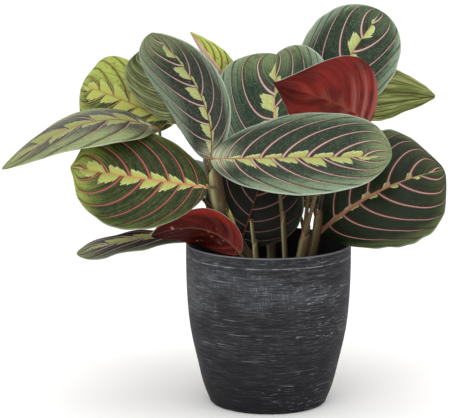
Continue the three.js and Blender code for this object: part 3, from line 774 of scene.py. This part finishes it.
def sheath_finish(settings):
    """A papery sheath: brown at its back, olive in front, with a pale green edge and a dry mouth, and painted shade on
    its back and on the sheaths right of the middle.
    """
    make = Finish("sheath_skin", roughness=0.55, specular=0.15)
    around, along, end = (make.attribute(name) for name in ("fold", "along", "end"))
    streak = make.noise((around * 16, along * 18, 0), 1, 3, 0.6)
    sideways, _, _ = make.split(make.place())
    base = make.paint(
        mixed(settings.green, settings.brown, 0.75),
        (streak.to(0.36, 0.64), settings.green),
        # Painted shade: the back of the sheath darkened towards dark brown
        (around.to(0.6, 0.3), mixed(settings.brown, "2b211a", 0.6)),
        (make.spots(70, 70, 50, 3).to(0.45, 0.7, 0, 0.5), settings.brown),
        (around.to(0.62, 0.86, 0, 0.9), settings.edge),
        (end.to(0.35, 0.05, 0, 0.6), settings.brown),
        # Painted shade: sheaths from about 16 mm right of the middle outwards are darker
        (sideways.to(0.016, 0.026, 0, 0.5), darkened(settings.brown, 0.4)),
        ((streak * 0.2 + end).to(0.98, 1.08, 0, 0.8), "3a2a1e"),
    )
    make.bump(streak, depth=0.0005, strength=0.8)
    return make.done(base)


def bud_finish(settings):
    """Yellow green young buds with a brown line down the fold."""
    make = Finish("bud_skin", roughness=0.5, specular=0.15)
    around, end = make.attribute("fold"), make.attribute("end")
    streak = make.noise((around * 12, end, 0), 1, 2)
    return make.done(make.paint(
        settings.bud,
        (streak.to(0.35, 0.65), mixed(settings.bud, settings.green, 0.6)),
        (around.to(0.25, 0.05, 0, 0.8), settings.brown),
    ))


def pot_finish(settings):
    """Charcoal with silver brushed round it in thin level scratches, woven in patches, with painted light from the
    left, painted shade towards the bottom and a painted highlight along the lip.
    """
    make = Finish("brushed_charcoal", roughness=0.6, specular=0.1)
    sideways, _, height = make.split(make.place())
    drift = make.spots(17, 17, 34, 4, 0.65)
    brush = make.spots(70, 70, 1300, 4, 0.7)
    long = make.spots(48, 48, 1000)
    short = make.spots(150, 150, 900, 2, 0.55)
    upright = make.spots(1000, 1000, 160, 2, 0.6)
    # A band of denser brushing high on the pot, plus painted light: lighter to the left and darker to the right
    shoulder_and_side_light = height.to(0.06, 0.1, -0.12, 0.1) * height.to(0.122, 0.11) + sideways.to(-0.05, 0.06, 0.02, -0.1)
    high = drift + shoulder_and_side_light
    scratch = long.to(0.62, 0.74) * drift.to(0.42, 0.6, 0.05, 0.8)
    dash = short.to(0.6, 0.74) * drift.to(0.4, 0.6, 0.1, 1) * sideways.to(-0.03, 0.04, 0.2, 1)
    woven = upright.to(0.48, 0.68) * brush.to(0.44, 0.62) * high.to(0.46, 0.72, 0.05, 0.6)
    ring = abs(height - 0.1195).to(0.0006, 0.0002) * short.to(0.36, 0.6, 0.1, 0.7)
    # Painted highlight: brushed silver along the top of the lip
    silver = height.to(0.1268, 0.1275, 0, 0.5)
    for stroke in (scratch, dash, woven, ring):
        silver = make.math("MAXIMUM", silver, stroke)
    dull, black = mixed(settings.body, settings.brushed, 0.3), darkened(settings.body, 0.6)
    base = make.paint(
        settings.body,
        (high.to(0.42, 0.75, 0, 0.36), dull),
        (brush.to(0.5, 0.64, 0, 0.32), dull),
        (brush.to(0.5, 0.38, 0, 0.52), black),
        # Painted shade: darker towards the bottom
        (height.to(0.07, 0, 0, 0.7), black),
        (silver * height.to(0, 0.1, 0.5, 0.75), settings.brushed),
    )
    make.bump(brush * 0.5 + silver, depth=0.0003, strength=0.5)
    return make.done(base, silver.to(0, 1, 0.62, 0.45))


def inner_finish(settings):
    """The pot's inner face, plain and matt."""
    make = Finish("pot_inside", roughness=0.8, specular=0.3)
    return make.done(make.blend(make.spots(30, 30, 60, 3), settings.inside, mixed(settings.inside, settings.body, 0.6)))


def peat_finish(name, main_colour, other):
    """Crumbly peat."""
    make = Finish(name, roughness=0.95, specular=0.1)
    patch = make.spots(180, 180, 180, 5, 0.7)
    speck = make.spots(900, 900, 900)
    base = make.paint(
        main_colour,
        (patch.to(0.35, 0.65), other),
        (speck.to(0.6, 0.75, 0, 0.6), mixed(other, "8a6b4c", 0.5)),
    )
    make.bump(patch + speck, depth=0.002, strength=0.8)
    return make.done(base)


# Pieces

BLADE_ROWS = 88
BLADE_COLUMNS = 44
ROW_CROWDING = 1 / 1.2
COLUMN_CROWDING = 1.25
LEAST_AT_BASE, LEAST_AT_TIP = 1.2, 0.3  # half widths in millimetres
SEED_STEP = 1.7

# Steps along and faces round each kind of stem, then lengths in millimetres
STALK_STEPS, STALK_SIDES = 30, 14
PETIOLE_STEPS, PETIOLE_SIDES = 34, 12
STUB_STEPS, STUB_SIDES = 8, 10
BUD_STEPS, BUD_SIDES = 14, 12
SHEATH_SIDES, STUB_SHEATH_SIDES = 19, 13
BARE_STEPS = 6  # the stalk's steps below its sheath
ROOTED, SURFACED = 17, 3  # how far a shoot's foot stands below the soil's level and above it
BLADE_HOLD, BLADE_OVERLAP = 5, 1.5  # how far a petiole runs straight before its blade and into it
SHEATH_WALL = 0.4


def piece_from(name, bm, materials, node):
    """Turns a bmesh into a piece that stands for a node of the part and rides on it."""
    mesh = bpy.data.meshes.new(name)
    bm.to_mesh(mesh)
    bm.free()
    for material in materials:
        mesh.materials.append(material)
    mesh.polygons.foreach_set("use_smooth", [True] * len(mesh.polygons))
    piece = bpy.data.objects.new(name, mesh)
    bpy.context.scene.collection.objects.link(piece)
    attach(piece, ROOT)
    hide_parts(node)
    return piece


def section_at(reach, rise, droop):
    """Half a blade's cross-section as an arc that leaves the midrib at one slope and droops."""
    start = math.radians(rise)
    turn = math.radians(0.5 if abs(droop) < 0.5 else droop)
    across = reach * (math.sin(start) - math.sin(start - turn)) / turn
    raised = reach * (math.cos(start - turn) - math.cos(start)) / turn
    return across, raised


def blade_width(leaf, sweep, share):
    """Half a blade's width, in metres, at one of its rows, with a short point at the tip."""
    narrowing = 1 - leaf.taper * share ** 3
    point = 1 - leaf.point * between(0.9, 1, share)
    least = LEAST_AT_BASE if share < 0.02 else LEAST_AT_TIP
    return max(leaf.width / 2 * math.sin(sweep) * narrowing * point, least) * MM


def vein_count(settings, leaf, share, reach, lateral, side):
    """The running number of the side vein through a point, counted from the base.

    A side vein starts on the midrib, leans forward and then runs along the margin.
    """
    start = share * (1 - settings.lean * reach ** 1.1) - leaf.spread * lateral ** 2.2
    return leaf.veins * math.copysign(abs(start) ** leaf.crowd, start) + leaf.shift[side]


def blade_piece(name, leaf, settings, seed):
    """One leaf blade, with its veins in relief, as a thin sheet with a finish for each face."""
    points, face = midrib_of(leaf)
    bm = bmesh.new()
    bmesh.ops.create_grid(bm, x_segments=BLADE_ROWS, y_segments=BLADE_COLUMNS, size=1)
    lay, veins = (bm.loops.layers.uv.new(layer) for layer in ("lay", "veins"))
    notes = {}
    for vert in bm.verts:
        sweep = math.pi * (vert.co.x + 1) / 2
        share = ((1 - math.cos(sweep)) / 2) ** ROW_CROWDING
        reach = abs(vert.co.y) ** COLUMN_CROWDING
        side, sign = (0, 1) if vert.co.y > 0 else (1, -1)
        half = blade_width(leaf, sweep, share)
        uneven = math.sin(21 * share + seed) + math.sin(38 * share + (1, 3)[side] * seed)
        half *= 1 + reach * leaf.ragged * uneven
        lateral = reach * half / (leaf.width / 2 * MM)
        notes[vert.index] = (share, sign * reach, sign * lateral)
        middle, heading = on_midrib(points, share)
        normal = Quaternion(heading, math.radians(leaf.twist * (share - 0.5))) @ face
        normal = (normal - heading * normal.dot(heading)).normalized()
        rise, droop = (leaf.left, leaf.right)[side]
        across, raised = section_at(half * reach, rise + leaf.fold[side] * share ** 3, droop * reach)
        count = vein_count(settings, leaf, share, reach, lateral, side)
        swell = abs(math.sin(math.pi * count)) ** 0.6 * between(0, 0.12, lateral) * between(1, 0.75, reach)
        groove = between(0.06, 0, lateral) * between(1, 0.9, share)
        wave = leaf.wave * MM * reach ** 3 * math.sin(17 * share + 2 * side + seed)
        wave += leaf.ridged * 0.6 * MM * math.sin(24 * reach + 1.5 * side)
        lift = settings.relief * (swell - 1.2 * groove) + wave * between(0, 0.15, share)
        vert.co = middle + normal.cross(heading) * (sign * across) + normal * (raised + lift)
    for sheet_face in bm.faces:
        shares = [notes[loop.vert.index] for loop in sheet_face.loops]
        side = 0 if sum(reach for _, reach, _ in shares) > 0 else 1
        for loop, (share, reach, lateral) in zip(sheet_face.loops, shares):
            loop[lay].uv = (share, (reach + 1) / 2)
            loop[veins].uv = (vein_count(settings, leaf, share, abs(reach), abs(lateral), side), lateral)
    finishes = [
        leaf_face(f"leaf_{name}_upper", leaf, settings, seed),
        leaf_back(f"leaf_{name}_under", leaf, settings, seed),
    ]
    piece = piece_from(f"blade_{name}", bm, finishes, f"leaf_{name}")
    sheet = piece.modifiers.new("Thickness", "SOLIDIFY")
    sheet.thickness = settings.thickness
    sheet.offset = 0
    sheet.material_offset = 1


def frames_along(path):
    """A square frame at each point of a path, turned no more than the path itself turns."""
    frames = []
    last = None
    for at, place in enumerate(path):
        heading = (path[min(at + 1, len(path) - 1)] - path[max(at - 1, 0)]).normalized()
        if last is None:
            side = heading.orthogonal().normalized()
            if abs(heading.z) > 0.5:
                side = (Vector((1, 0, 0)) - heading * heading.x).normalized()
        else:
            side = (last - heading * last.dot(heading)).normalized()
        last = side
        frames.append((place, side, heading.cross(side)))
    return frames


class Tube:
    """Tubes and open sheaths grown ring by ring along a path, in one bmesh."""

    def __init__(self):
        self.bm = bmesh.new()
        self.turn, self.fold, self.along, self.end = (
            self.bm.verts.layers.float.new(name) for name in ("turn", "fold", "along", "end")
        )

    def lay_ring(self, ring, frame_at, radius, arc, along, end):
        place, side, up = frame_at
        for vert in ring:
            angle = (vert[self.turn] - 0.5) * arc
            vert.co = place + (side * math.cos(angle) + up * math.sin(angle)) * radius
            vert[self.along], vert[self.end] = along, end

    def grow(self, path, radius_at, sides, arc_at=None):
        """A rod, or with arc_at an open sheath whose arc changes along it."""
        bm = self.bm
        ring = bmesh.ops.create_circle(bm, segments=sides, radius=1)["verts"]
        edges = list(dict.fromkeys(edge for vert in ring for edge in vert.link_edges))
        steps = sides
        if arc_at:
            closing = [edge for edge in edges if set(edge.verts) == {ring[0], ring[-1]}]
            bmesh.ops.delete(bm, geom=closing, context="EDGES")
            edges = [edge for edge in edges if edge.is_valid]
            steps = sides - 1
        for at, vert in enumerate(ring):
            vert[self.turn] = at / steps
            vert[self.fold] = abs(2 * at / steps - 1)
        first_edges = edges
        frames = frames_along(path)
        travelled = 0
        for at, frame_at in enumerate(frames):
            end = at / (len(frames) - 1)
            if at:
                grown = bmesh.ops.extrude_edge_only(bm, edges=edges)["geom"]
                ring = [part for part in grown if isinstance(part, bmesh.types.BMVert)]
                edges = [part for part in grown if isinstance(part, bmesh.types.BMEdge)
                         and all(vert in ring for vert in part.verts)]
                travelled += (path[at] - path[at - 1]).length
            arc = arc_at(end) if arc_at else 2 * math.pi
            self.lay_ring(ring, frame_at, radius_at(end), arc, travelled, end)
        if not arc_at:
            for loop in (first_edges, edges):
                bmesh.ops.contextual_create(bm, geom=loop)


def in_metres(points):
    """Points that are given in millimetres, as vectors in metres."""
    return [Vector(point) * MM for point in points]


def stem_piece(name, shoot, settings, skins):
    """A shoot with its sheathed foot, petioles, stubs and buds, as one piece."""
    tubes, buds, wraps = Tube(), Tube(), Tube()
    sheath = in_metres(shoot.sheath)
    radius = shoot.radius * MM
    levels = (SOIL_LEVEL - ROOTED, SOIL_LEVEL, SOIL_LEVEL + SURFACED)
    foot = [Vector((sheath[0].x, sheath[0].y, level * MM)) for level in levels]
    stalk = smooth_path([*foot, *sheath], STALK_STEPS)
    tubes.grow(stalk, lambda end: radius * (0.9 - 0.3 * between(0.85, 1, end)), STALK_SIDES)

    def petiole_radius(end):
        pulvinus = between(0.84, 0.9, end) * between(1.02, 0.95, end)
        return settings.petiole * (1.05 - 0.3 * between(0, 0.5, end) + 0.22 * pulvinus)

    for leaf_name, start, by in shoot.petioles:
        points, _ = midrib_of(LEAVES[leaf_name])
        base, heading = on_midrib(points, 0)
        ends = [base - heading * (BLADE_HOLD * MM), base + heading * (BLADE_OVERLAP * MM)]
        tubes.grow(smooth_path([sheath[start], *in_metres(by), *ends], PETIOLE_STEPS), petiole_radius, PETIOLE_SIDES)
    for start, to, thick in shoot.stubs:
        path = smooth_path([sheath[start], Vector(to) * MM], STUB_STEPS)
        tubes.grow(path, lambda end: thick * MM * 0.8, STUB_SIDES)
        wraps.grow(
            path, lambda end: thick * MM * 1.15, STUB_SHEATH_SIDES, lambda end: math.radians(300 - 60 * end ** 4),
        )
    for start, to, thick in shoot.buds:
        path = smooth_path([sheath[start], Vector(to) * MM], BUD_STEPS)
        buds.grow(
            path, lambda end: thick * MM * max(math.sin(math.pi * (0.12 + 0.88 * end)) ** 0.7, 0.05), BUD_SIDES,
        )
    wraps.grow(
        smooth_path(in_metres(shoot.wrap), STALK_STEPS) if shoot.wrap else stalk[BARE_STEPS:],
        lambda end: radius * (1.04 + (shoot.flare - 1) * (between(0.2, 0.6, end) - 0.7 * between(0.7, 1, end))),
        SHEATH_SIDES,
        lambda end: math.radians(300 - 30 * end - shoot.split * between(0.86, 1, end)),
    )
    for tube in (tubes, buds, wraps):
        bmesh.ops.recalc_face_normals(tube.bm, faces=tube.bm.faces[:])
    bmesh.ops.solidify(wraps.bm, geom=wraps.bm.faces[:], thickness=SHEATH_WALL * MM)
    for number, tube in ((1, wraps), (2, buds)):
        for tube_face in tube.bm.faces:
            tube_face.material_index = number
        joined = bpy.data.meshes.new("joined_part")
        tube.bm.to_mesh(joined)
        tube.bm.free()
        tubes.bm.from_mesh(joined)
        bpy.data.meshes.remove(joined)
    piece_from(f"stems_{name}", tubes.bm, skins, f"shoot_{name}")


def spun(outline, steps):
    """A bmesh of an outline of (radius, height) points in millimetres turned about the pot's axis."""
    bm = bmesh.new()
    verts = [bm.verts.new((radius * MM, 0, height * MM)) for radius, height in outline]
    for first, second in zip(verts, verts[1:]):
        bm.edges.new((first, second))
    bmesh.ops.spin(
        bm, geom=bm.verts[:] + bm.edges[:], cent=(0, 0, 0), axis=(0, 0, 1), angle=2 * math.pi,
        steps=steps, use_merge=True, use_duplicate=False,
    )
    bmesh.ops.remove_doubles(bm, verts=bm.verts[:], dist=1e-6)
    bmesh.ops.recalc_face_normals(bm, faces=bm.faces[:])
    return bm


POT_CURVE = smooth_path([(radius, level, 0) for radius, level in POT_OUTLINE[1:]], 120)


def pot_radius(height):
    """The pot's outside radius at a height, both in millimetres, on a smooth curve."""
    for first, second in zip(POT_CURVE, POT_CURVE[1:]):
        if first.y <= height <= second.y:
            return first.x + (second.x - first.x) * (height - first.y) / max(second.y - first.y, 1e-9)
    return POT_OUTLINE[0][0] if height < POT_OUTLINE[1][1] else POT_OUTLINE[-1][0]


class PLANT_OT_pot(bpy.types.Operator):
    """Make the pot, brushed outside and plain inside"""

    bl_idname = "plant.pot"
    bl_label = "Pot"

    def execute(self, context):
        settings = context.scene.plant_pot
        wall, lip = settings.wall / MM, settings.lip / MM
        (foot, _), (rim, top) = POT_OUTLINE[0], POT_OUTLINE[-1]
        levels = [*POT_LEVELS, top - lip]
        outside = [(foot - 1.2, 0), (foot + 0.4, 0.3)] + [(pot_radius(level), level) for level in levels]
        turns = (math.pi / 6, math.pi / 3, math.pi / 2)
        corner = [(lip * (1 - math.cos(turn)), lip * math.sin(turn)) for turn in turns]
        outer_lip = [(rim - inward, top - lip + upward) for inward, upward in corner]
        inner_lip = [(rim - wall + inward, top - lip + upward) for inward, upward in reversed(corner)]
        inside = [(pot_radius(level) - wall, level) for level in reversed(levels) if level > POT_FLOOR]
        floor = [(pot_radius(POT_FLOOR) - wall - 1, POT_FLOOR), (0, POT_FLOOR)]
        bm = spun([(0, 0), *outside, *outer_lip, *inner_lip, *inside, *floor], POT_STEPS)
        for pot_face in bm.faces:
            centre = pot_face.calc_center_median()
            within = Vector((centre.x, centre.y)).length < (pot_radius(centre.z / MM) - wall / 2) * MM
            pot_face.material_index = 1 if within and centre.z > POT_FLOOR / 2 * MM else 0
        piece_from("brushed_pot", bm, [pot_finish(settings), inner_finish(settings)], "pot")
        return {"FINISHED"}


class PLANT_OT_soil(bpy.types.Operator):
    """Fill the pot with crumbly peat"""

    bl_idname = "plant.soil"
    bl_label = "Soil"

    def execute(self, context):
        settings = context.scene.plant_pot
        inset = settings.wall / MM + STEM_CLEARANCE
        rings = [(pot_radius(SOIL_LEVEL) - inset) * share / SOIL_RINGS for share in range(SOIL_RINGS, 0, -1)]
        sides = [(pot_radius(level) - inset, level) for level in SOIL_LEVELS]
        top = [(radius, SOIL_LEVEL) for radius in (*rings, 0)]
        bm = spun([(0, SOIL_FLOOR), *sides, *top], SOIL_STEPS)
        edge = rings[0] * MM
        rough_edge = edge - 0.004
        for vert in bm.verts:
            flat = Vector((vert.co.x, vert.co.y)).length
            if vert.co.z > (SOIL_LEVEL - 1) * MM:
                lump = noise.noise(vert.co * 60) * 1.1 + noise.noise(vert.co * 230) * 0.9
                vert.co.z += lump * MM * between(edge, rough_edge, flat)
        peat = peat_finish("peat", settings.peat, mixed(settings.peat, settings.crumb, 0.5))
        crumb = peat_finish("peat_crumb", settings.crumb, settings.peat)
        draw = random.Random(CRUMB_SEED)
        for _ in range(CRUMBS):
            spread = draw.random() ** 0.5 * rough_edge
            turn = draw.uniform(0, 2 * math.pi)
            size = draw.uniform(0.0008, 0.0022)
            place = Vector((spread * math.cos(turn), spread * math.sin(turn), SOIL_LEVEL * MM + size * 0.3))
            shape = Matrix.LocRotScale(
                place,
                Quaternion((draw.random() - 0.5, draw.random() - 0.5, 1), draw.uniform(0, 6)),
                Vector((size * draw.uniform(0.8, 1.5), size, size * draw.uniform(0.5, 0.9))),
            )
            lump = bmesh.ops.create_icosphere(bm, subdivisions=1, radius=1, matrix=shape)
            for crumb_face in {part for vert in lump["verts"] for part in vert.link_faces}:
                crumb_face.material_index = 1
        piece_from("potting_soil", bm, [peat, crumb], "soil")
        return {"FINISHED"}


class PLANT_OT_shoots(bpy.types.Operator):
    """Grow the shoots with their sheaths and petioles"""

    bl_idname = "plant.shoots"
    bl_label = "Shoots"

    def execute(self, context):
        settings = context.scene.plant_stem
        skins = [stem_finish(settings), sheath_finish(settings), bud_finish(settings)]
        for name, shoot in SHOOTS.items():
            stem_piece(name, shoot, settings, skins)
        return {"FINISHED"}


class LeafMaker:
    """Makes the leaves of some tones."""

    tones = ()

    def execute(self, context):
        for number, (name, leaf) in enumerate(LEAVES.items()):
            if leaf.tone in self.tones:
                blade_piece(name, leaf, context.scene.plant_leaf, number * SEED_STEP)
        return {"FINISHED"}


class PLANT_OT_mature_leaves(LeafMaker, bpy.types.Operator):
    """Grow the dark herringbone leaves"""

    bl_idname = "plant.mature_leaves"
    bl_label = "Mature Leaves"
    tones = ("mature",)


class PLANT_OT_red_leaves(LeafMaker, bpy.types.Operator):
    """Grow the leaves that turn their wine red underside to the front"""

    bl_idname = "plant.red_leaves"
    bl_label = "Red Leaves"
    tones = ("red",)


class PLANT_OT_young_leaves(LeafMaker, bpy.types.Operator):
    """Grow the young yellow green and grey green leaves"""

    bl_idname = "plant.young_leaves"
    bl_label = "Young Leaves"
    tones = ("young", "grey")


# Each soft light's name, place, size and power
LIGHTS = (
    ("key_light", (-0.5, -1.7, 1.5), 1.4, 10),
    ("top_light", (0.2, 0.2, 1.9), 1.4, 5),
    ("fill_light", (1.4, -1.0, 0.8), 1.2, 2),
)
LIT_POINT = (0, 0, 0.2)
SKY_STRENGTH = 1.07
FLOOR_REACH = 12
CAMERA_TILT = 10.43
CAMERA_TURN = 1.09


def area_light(name, place, size, power):
    """A soft square light that looks at the plant."""
    lamp = bpy.data.lights.new(name, "AREA")
    lamp.shape = "SQUARE"
    lamp.size = size
    lamp.energy = power
    holder = bpy.data.objects.new(name, lamp)
    holder.location = place
    holder.rotation_euler = (Vector(LIT_POINT) - Vector(place)).to_track_quat("-Z", "Y").to_euler()
    bpy.context.scene.collection.objects.link(holder)


class PLANT_OT_stage(bpy.types.Operator):
    """Set the pale floor, the soft lights and the camera"""

    bl_idname = "plant.stage"
    bl_label = "Stage"

    def execute(self, context):
        scene = context.scene
        settings = scene.plant_stage
        bm = bmesh.new()
        bmesh.ops.create_grid(bm, x_segments=1, y_segments=1, size=FLOOR_REACH)
        mesh = bpy.data.meshes.new("floor")
        bm.to_mesh(mesh)
        bm.free()
        make = Finish("floor_paint", roughness=0.9, specular=0.1)
        lighter = mixed(settings.floor, (1, 1, 1), 0.2)
        mesh.materials.append(make.done(make.blend(make.spots(3, 3, 3), settings.floor, lighter)))
        floor = bpy.data.objects.new("floor", mesh)
        scene.collection.objects.link(floor)

        world = bpy.data.worlds.new("studio")
        world.use_nodes = True
        sky = world.node_tree.nodes["Background"]
        sky.inputs[0].default_value = (1, 1, 1, 1)
        sky.inputs[1].default_value = SKY_STRENGTH
        scene.world = world
        for light in LIGHTS:
            area_light(*light)

        view = bpy.data.cameras.new("camera")
        view.sensor_width = 36
        view.lens = settings.lens
        view.clip_end = 50
        camera = bpy.data.objects.new("camera", view)
        camera.location = (0, -settings.distance, settings.height)
        camera.rotation_euler = (math.radians(90 - CAMERA_TILT), 0, math.radians(CAMERA_TURN))
        scene.collection.objects.link(camera)
        scene.camera = camera
        scene.view_settings.view_transform = "Standard"
        return {"FINISHED"}


class PLANT_PT_panel(bpy.types.Panel):
    """Lists the plant's parts and their settings"""

    bl_idname = "PLANT_PT_panel"
    bl_label = "Prayer Plant"
    bl_space_type = "VIEW_3D"
    bl_region_type = "UI"
    bl_category = "Plant"

    def draw(self, context):
        layout = self.layout
        for group in GROUPS:
            settings = getattr(context.scene, group)
            box = layout.box()
            for key in settings.bl_rna.properties.keys():
                if key not in ("rna_type", "name"):
                    box.prop(settings, key)
        for operator in OPERATORS:
            layout.operator(operator.bl_idname)


GROUPS = {
    "plant_pot": PotSettings,
    "plant_leaf": LeafSettings,
    "plant_stem": StemSettings,
    "plant_stage": StageSettings,
}
OPERATORS = (
    PLANT_OT_pot,
    PLANT_OT_soil,
    PLANT_OT_shoots,
    PLANT_OT_mature_leaves,
    PLANT_OT_red_leaves,
    PLANT_OT_young_leaves,
    PLANT_OT_stage,
)


def register():
    for kind in (*GROUPS.values(), *OPERATORS, PLANT_PT_panel):
        bpy.utils.register_class(kind)
    for name, kind in GROUPS.items():
        setattr(bpy.types.Scene, name, PointerProperty(type=kind))


def unregister():
    for name in GROUPS:
        delattr(bpy.types.Scene, name)
    for kind in reversed((*GROUPS.values(), *OPERATORS, PLANT_PT_panel)):
        bpy.utils.unregister_class(kind)


def main():
    """Builds every piece."""
    register()
    for operator in OPERATORS:
        group, name = operator.bl_idname.split(".")
        getattr(getattr(bpy.ops, group), name)()


if __name__ == "__main__":
    main()
